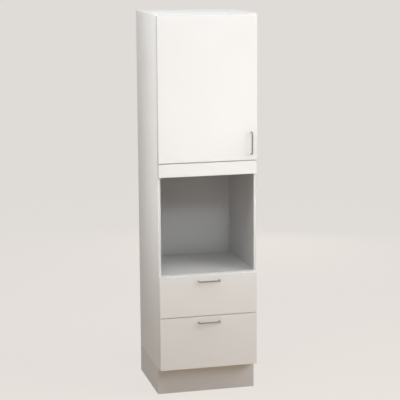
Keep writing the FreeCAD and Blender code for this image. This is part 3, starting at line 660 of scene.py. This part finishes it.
def balls_tree():
    """Balls at an even spacing along straight races."""
    tree, given = new_tree("balls", {"Radius": "Float", "Spacing": "Float"})
    race = add_node(tree, "GeometryNodeMeshToCurve", {"Mesh": given["Geometry"]})
    spaced = add_node(tree, "GeometryNodeResampleCurve",
                      {"Curve": race.outputs[0], "Length": given["Spacing"]}, mode="LENGTH")
    ball = add_node(tree, "GeometryNodeMeshIcoSphere",
                    {"Radius": given["Radius"], "Subdivisions": BALL_DETAIL})
    placed = add_node(tree, "GeometryNodeInstanceOnPoints",
                      {"Points": spaced.outputs[0], "Instance": ball.outputs["Mesh"]})
    end_tree(tree, placed.outputs[0], given["Material"])
    return tree


def seats_mesh(seats):
    """Points for fittings, each with the way it faces."""
    mesh = bpy.data.meshes.new("seats")
    mesh.from_pydata([place for place, facing in seats], [], [])
    ways = mesh.attributes.new("facing", "FLOAT_VECTOR", "POINT")
    for index, (place, facing) in enumerate(seats):
        ways.data[index].vector = facing
    return mesh


def grow(name, tree, start, sizes, material):
    """The plain mesh piece that a geometry tree makes from a starting mesh."""
    maker = bpy.data.objects.new(name, start)
    scene.collection.objects.link(maker)
    modifier = maker.modifiers.new("shape", "NODES")
    modifier.node_group = tree
    values = dict(sizes, Material=material)
    for socket in tree.interface.items_tree:
        if socket.in_out == "INPUT" and socket.name in values:
            modifier[socket.identifier] = values[socket.name]
    graph = bpy.context.evaluated_depsgraph_get()
    mesh = bpy.data.meshes.new_from_object(maker.evaluated_get(graph), depsgraph=graph)
    maker.modifiers.remove(modifier)
    maker.data = mesh
    mesh.shade_smooth()
    mesh.set_sharp_from_angle(angle=SMOOTH_ANGLE)
    return maker


def turned_fitting(profile, flutes=0.0):
    """A closed turned shape from rows of radius and height, low to high; a fluted row ends in True."""
    shape = bmesh.new()
    rings = []
    for radius, height, *fluted in profile:
        if radius == 0:
            rings.append([shape.verts.new((0, 0, height))] * TURNED_SIDES)
            continue
        ring = []
        for step in range(TURNED_SIDES):
            angle = 2 * math.pi * step / TURNED_SIDES
            in_flute = fluted and step % FLUTE_SIDES >= FLUTE_SIDES / 2
            reach = radius - (flutes if in_flute else 0)
            ring.append(shape.verts.new((reach * math.cos(angle), reach * math.sin(angle), height)))
        rings.append(ring)
    for lower, upper in zip(rings, rings[1:]):
        for step in range(TURNED_SIDES):
            after = (step + 1) % TURNED_SIDES
            corners = [lower[step], lower[after], upper[after], upper[step]]
            shape.faces.new(list(dict.fromkeys(corners)))
    bmesh.ops.recalc_face_normals(shape, faces=shape.faces)
    mesh = bpy.data.meshes.new("turned")
    shape.to_mesh(mesh)
    shape.free()
    fitting = bpy.data.objects.new("turned", mesh)
    scene.collection.objects.link(fitting)
    return fitting


def place_copies(name, fitting, seats, material):
    """Copies of a fitting as one piece; the fitting itself is dropped."""
    piece = grow(name, copies, seats_mesh(seats), {"Fitting": fitting}, material)
    bpy.data.objects.remove(fitting)
    return piece


def join_part(piece, body, slot, *stands_for):
    """Makes a piece move with its body and hides the nodes that it stands for; its slot is not used."""
    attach(piece, body)
    for node in stands_for:
        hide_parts(node)


def drive_screws(name, seats, body, slot, material, head, stands_for=(), crown=SCREW_CROWN,
                 slot_share=SLOT_SHARE):
    """A piece of screw heads, each of a radius and a height, on their seats."""
    radius, height = head
    sizes = {"Radius": radius, "Height": height, "Crown": crown, "Slot": 2 * radius * slot_share,
             "Blade": BLADE_SHARE * radius, "Depth": DEPTH_SHARE * min(height, radius),
             "Sides": SCREW_SIDES, "Seed": SCREW_SEED}
    join_part(grow(name, screw, seats_mesh(seats), sizes, material), body, slot, *stands_for)


def bend_handle(body, upright, material):
    """A rounded bow handle in place of a front's plain one."""
    low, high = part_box(body + "_handle")
    centre = (low + high) / 2
    width, length = sorted((high.x - low.x, high.z - low.z))
    half = length / 2 - HANDLE_THICKNESS / 2
    reach = high.y - low.y - HANDLE_THICKNESS / 2
    start = bpy.data.meshes.new("bow_path")
    start.from_pydata([(-half, 0, 0), (-half, -reach, 0), (half, -reach, 0), (half, 0, 0)],
                      [(0, 1), (1, 2), (2, 3)], [])
    sizes = {"Width": width, "Thickness": HANDLE_THICKNESS, "Easing": HANDLE_EASING,
             "Bend": HANDLE_BEND - HANDLE_THICKNESS / 2}
    piece = grow(body + "_bow", bow, start, sizes, material)
    if upright:
        piece.data.transform(Matrix.Rotation(math.pi / 2, 4, "Y"))
    piece.data.transform(Matrix.Translation((centre.x, high.y, centre.z)))
    join_part(piece, body, "steel_handle", body + "_handle")


def fit_fronts():
    """Handles and their screws on the door and the two drawers, and the door's bumpers."""
    for body, panel, upright, material in (("door", "door_panel", True, steel_along_z),
                                           ("upper_drawer", "upper_drawer_front", False, steel_along_x),
                                           ("lower_drawer", "lower_drawer_front", False, steel_along_x)):
        bend_handle(body, upright, material)
        node = body + "_handle_screws"
        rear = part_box(panel)[1].y
        heads = solids_of(node)
        seats = [seat(solid, BACKWARD, y=rear) for solid in heads]
        low, high = heads[0]
        drive_screws(body + "_screw_heads", seats, body, "zinc_fitting", zinc,
                     ((high.x - low.x) / 2, high.y - rear), [node])

    bumpers = solids_of("door_bumpers")
    seats = [seat((low, high), BACKWARD, y=low.y) for low, high in bumpers]
    low, high = bumpers[0]
    radius = (high.x - low.x) / 2
    dome = turned_fitting([(share * radius, part * (high.y - low.y)) for share, part in DOME_PROFILE])
    piece = place_copies("bumper_domes", dome, seats, soft_plastic)
    join_part(piece, "door", "clear_bumper", "door_bumpers")


def fit_cams():
    """Slotted faces on the cam locks, upwards on the top panel and downwards under the other boards."""
    top_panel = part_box("top_panel")[0].z
    cams = solids_of("cam_locks")
    seats = []
    for low, high in cams:
        upward = (low.z + high.z) / 2 > top_panel
        seats.append(seat((low, high), UP, z=low.z) if upward else seat((low, high), DOWN, z=high.z))
    low, high = cams[0]
    drive_screws("cam_faces", seats, "carcass", "zinc_fitting", zinc,
                 ((high.x - low.x) / 2, high.z - low.z), ["cam_locks"],
                 crown=0.0, slot_share=CAM_SLOT_SHARE)


def fit_pins():
    """Turned shelf pins, each with a collar against its side panel."""
    pins = solids_of("shelf_pins")
    seats = [seat((low, high), RIGHT, x=low.x) if low.x < 0 else seat((low, high), LEFT, x=high.x)
             for low, high in pins]
    low, high = pins[-1]
    length = high.x - low.x
    radius = (high.z - low.z) / 2
    sunk = high.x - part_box("side_panel_right")[0].x
    pin = turned_fitting([(0, 0), (PIN_POINT * radius, 0), (radius, PIN_POINT_LENGTH), (radius, sunk),
                          (PIN_COLLAR * radius, sunk), (PIN_COLLAR * radius, sunk + PIN_COLLAR_SIDE),
                          (PIN_COLLAR_TOP * radius, sunk + PIN_COLLAR_HEIGHT),
                          (radius, sunk + PIN_COLLAR_HEIGHT), (radius, length - PIN_TIP_LENGTH),
                          (PIN_TIP * radius, length), (0, length)])
    join_part(place_copies("turned_pins", pin, seats, zinc), "carcass", "zinc_fitting", "shelf_pins")


def fit_legs():
    """Legs with a fluted foot and a threaded stem, and the screws of their sockets."""
    legs = solids_of("legs")
    low, high = legs[0]
    foot = (high.x - low.x) / 2
    rows = [(share * foot, *rest) for share, *rest in FOOT_PROFILE]
    height = FOOT_HEIGHT
    while height < LEG_TUBE_FROM - THREAD_PITCH:
        rows += [(share * LEG_RADIUS, height + part * THREAD_PITCH) for share, part in THREAD_PROFILE]
        height += THREAD_PITCH
    rows += [(THREAD_ROOT * LEG_RADIUS, LEG_TUBE_FROM), (LEG_TUBE_RIM * LEG_RADIUS, LEG_TUBE_FROM),
             (LEG_RADIUS, LEG_TUBE_FROM + LEG_TUBE_EASING), (LEG_RADIUS, high.z), (0, high.z)]
    leg = turned_fitting(rows, FOOT_FLUTE)
    seats = [seat(solid, UP, z=0) for solid in legs]
    join_part(place_copies("threaded_legs", leg, seats, dark_plastic), "carcass", "dark_plastic", "legs")

    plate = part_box("leg_sockets")[1].z - SOCKET_PLATE
    reach = SOCKET_SCREW_REACH
    seats = [(Vector((place.x + x, place.y + y, plate)), DOWN) for place, facing in seats
             for x, y in ((reach, 0), (-reach, 0), (0, reach), (0, -reach))]
    drive_screws("socket_screw_heads", seats, "carcass", "zinc_fitting", zinc, BOARD_SCREW)


def fit_hinges():
    """Screws in the hinge plates and cup ears, and the two adjusters on each hinge arm."""
    seats = [seat((low, high), RIGHT, step, x=low.x + PLATE_WING, y=low.y + PLATE_SCREW_LINE)
             for low, high in solids_of("hinge_plates") for step in (-PLATE_SCREW_STEP, PLATE_SCREW_STEP)]
    drive_screws("hinge_plate_screws", seats, "carcass", "nickel_hinge", nickel, PLATE_SCREW)
    seats = [seat((low, high), BACKWARD, step, x=low.x + EAR_SCREW_LINE, y=high.y)
             for low, high in solids_of("hinge_cups") for step in (-EAR_SCREW_STEP, EAR_SCREW_STEP)]
    drive_screws("hinge_cup_screws", seats, "door", "nickel_hinge", nickel, EAR_SCREW)
    seats = [seat((low, high), RIGHT, x=high.x, y=high.y - line)
             for low, high in solids_of("hinge_arms") for line in ARM_SCREW_LINES]
    drive_screws("hinge_adjusters", seats, "carcass", "nickel_hinge", nickel, ADJUSTER,
                 crown=ADJUSTER_CROWN)


def fit_brackets():
    """Two screws in each leg of the sheet brackets."""
    seats = []
    for low, high in solids_of("filler_brackets"):
        for x in (low.x + BRACKET_SCREW_EDGE, high.x - BRACKET_SCREW_EDGE):
            seats.append((Vector((x, low.y + BRACKET_SHEET, high.z - BRACKET_SCREW_LINE)), BACKWARD))
            seats.append((Vector((x, low.y + BRACKET_SCREW_LINE, high.z - BRACKET_SHEET)), DOWN))
    drive_screws("filler_bracket_screws", seats, "carcass", "zinc_fitting", zinc, BOARD_SCREW)
    for level in ("upper", "lower"):
        seats = []
        for low, high in solids_of(level + "_drawer_brackets"):
            wall, inward = (high.x, LEFT) if low.x > 0 else (low.x, RIGHT)
            for z in (low.z + BRACKET_SCREW_EDGE, high.z - BRACKET_SCREW_EDGE):
                on_front = Vector((wall, low.y + BRACKET_SHEET, z)) + inward * BRACKET_SCREW_LINE
                on_side = Vector((wall, low.y + BRACKET_SCREW_LINE, z)) + inward * BRACKET_SHEET
                seats += [(on_front, BACKWARD), (on_side, inward)]
        drive_screws(level + "_bracket_screws", seats, level + "_drawer", "zinc_fitting", zinc, BOARD_SCREW)


def fill_races():
    """Steel balls in the cages of the drawer runners."""
    for level in ("upper", "lower"):
        for rail in ("outer", "inner"):
            places = []
            for low, high in solids_of("ball_cages_" + rail + "_" + level):
                middle = (low + high) / 2
                places += [(middle.x, low.y + BALL_END, middle.z), (middle.x, high.y - BALL_END, middle.z)]
            races = bpy.data.meshes.new("races")
            races.from_pydata(places, [(index, index + 1) for index in range(0, len(places), 2)], [])
            piece = grow(level + "_" + rail + "_balls", balls, races,
                         {"Radius": BALL_RADIUS, "Spacing": BALL_SPACING}, bright_steel)
            join_part(piece, level + "_" + rail + "_cages", "galvanised_steel")


lay_floor()
set_lights()
set_camera()

carcass_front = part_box("side_panel_left")[0].y
carcass_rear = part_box("side_panel_left")[1].y
door_low, door_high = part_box("door_panel")
edge_front = door_low.y + FRONT_ARRIS
edge_rear = door_high.y - BARE_EDGE
# The door's hinge edge, and the door's bottom and filler's top edges at their gap, painted grey as shade
hinge_edge_shade = (Vector((cad_low.x, edge_front, cad_low.z)),
              Vector((door_low.x + FRONT_EDGE_REACH, edge_rear, cad_high.z)))
gap_edge_shade = (Vector((cad_low.x, edge_front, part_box("filler_panel")[1].z - FRONT_EDGE_REACH)),
             Vector((cad_high.x, edge_rear, door_low.z + FRONT_EDGE_REACH)))
drawer_finish = lacquered_front("drawer_lacquer")
door_finish = lacquered_front("door_lacquer", (hinge_edge_shade, gap_edge_shade))
# The inside of the cabinet, painted greyer as shade
inner = (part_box("bottom_panel")[0] + Vector((-BARE_EDGE, BARE_EDGE, BARE_EDGE)),
         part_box("top_panel")[1] + Vector((BARE_EDGE, BARE_EDGE, -BARE_EDGE)))
raw_from = carcass_rear - BARE_EDGE
side_finish = melamine_board("side_board", BOARD_TONE, inner, raw_from=raw_from)
board_finish = melamine_board("melamine_board", BOARD_TONE, inner, carcass_front + EDGE_BAND, raw_from)
# The plinth front and its side returns, painted darker than the boards as shade
plinth_shade_finish = melamine_board("plinth_shaded_board", PLINTH_SHADE_TONE)
return_finish = melamine_board("plinth_return", RETURN_SHADE_TONE, raw_from=raw_from)
back_low, back_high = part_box("back_panel")
back_finish = hardboard_back((back_low.y + back_high.y) / 2)
steel_along_x = brushed_steel("brushed_steel_level", "x")
steel_along_z = brushed_steel("brushed_steel_upright", "z")
zinc = plated_metal("zinc_plating", ZINC_TONES, smooth=0.26, matt=0.40)
nickel = plated_metal("nickel_plating", NICKEL_TONES, smooth=0.20, matt=0.28)
bright_steel = plated_metal("bright_steel", BALL_TONES, smooth=0.12, matt=0.20)
galvanised = galvanised_steel()
powder = powder_coat()
dark_plastic = moulded_plastic("dark_plastic", DARK_PLASTIC_TONES, smooth=0.45, matt=0.6)
soft_plastic = moulded_plastic("soft_plastic", SOFT_PLASTIC_TONES, smooth=0.30, matt=0.42)

dress(door_finish, "door_panel", "filler_panel")
dress(drawer_finish, "upper_drawer_front", "lower_drawer_front")
dress(side_finish, "side_panel_left", "side_panel_right")
dress(board_finish, "top_panel", "bottom_panel", "oven_shelf", "cupboard_floor", "wall_rail",
      "loose_shelf_lower", "loose_shelf_upper", "upper_drawer_bottom", "upper_drawer_back",
      "lower_drawer_bottom", "lower_drawer_back")
dress(plinth_shade_finish, "plinth_front")
dress(return_finish, "plinth_side_left", "plinth_side_right")
dress(back_finish, "back_panel")
dress(steel_along_x, "upper_drawer_handle", "lower_drawer_handle")
dress(steel_along_z, "door_handle")
dress(zinc, "cam_locks", "cam_bolts", "shelf_pins", "door_handle_screws", "upper_drawer_handle_screws",
      "lower_drawer_handle_screws")
dress(nickel, "hinge_cups", "hinge_arms", "hinge_plates", "hinge_pins")
dress(galvanised, "filler_brackets", "upper_drawer_brackets", "lower_drawer_brackets", "runner_outer_upper",
      "runner_outer_lower", "runner_middle_upper", "runner_middle_lower", "runner_inner_upper",
      "runner_inner_lower", "ball_cages_outer_upper", "ball_cages_inner_upper", "ball_cages_outer_lower",
      "ball_cages_inner_lower")
dress(powder, "upper_drawer_side_left", "upper_drawer_side_right", "lower_drawer_side_left",
      "lower_drawer_side_right")
dress(dark_plastic, "legs", "leg_sockets", "plinth_clips")
dress(soft_plastic, "door_bumpers")

bow = bow_tree()
screw = screw_tree()
copies = copies_tree()
balls = balls_tree()
fit_fronts()
fit_cams()
fit_pins()
fit_legs()
fit_hinges()
fit_brackets()
fill_races()
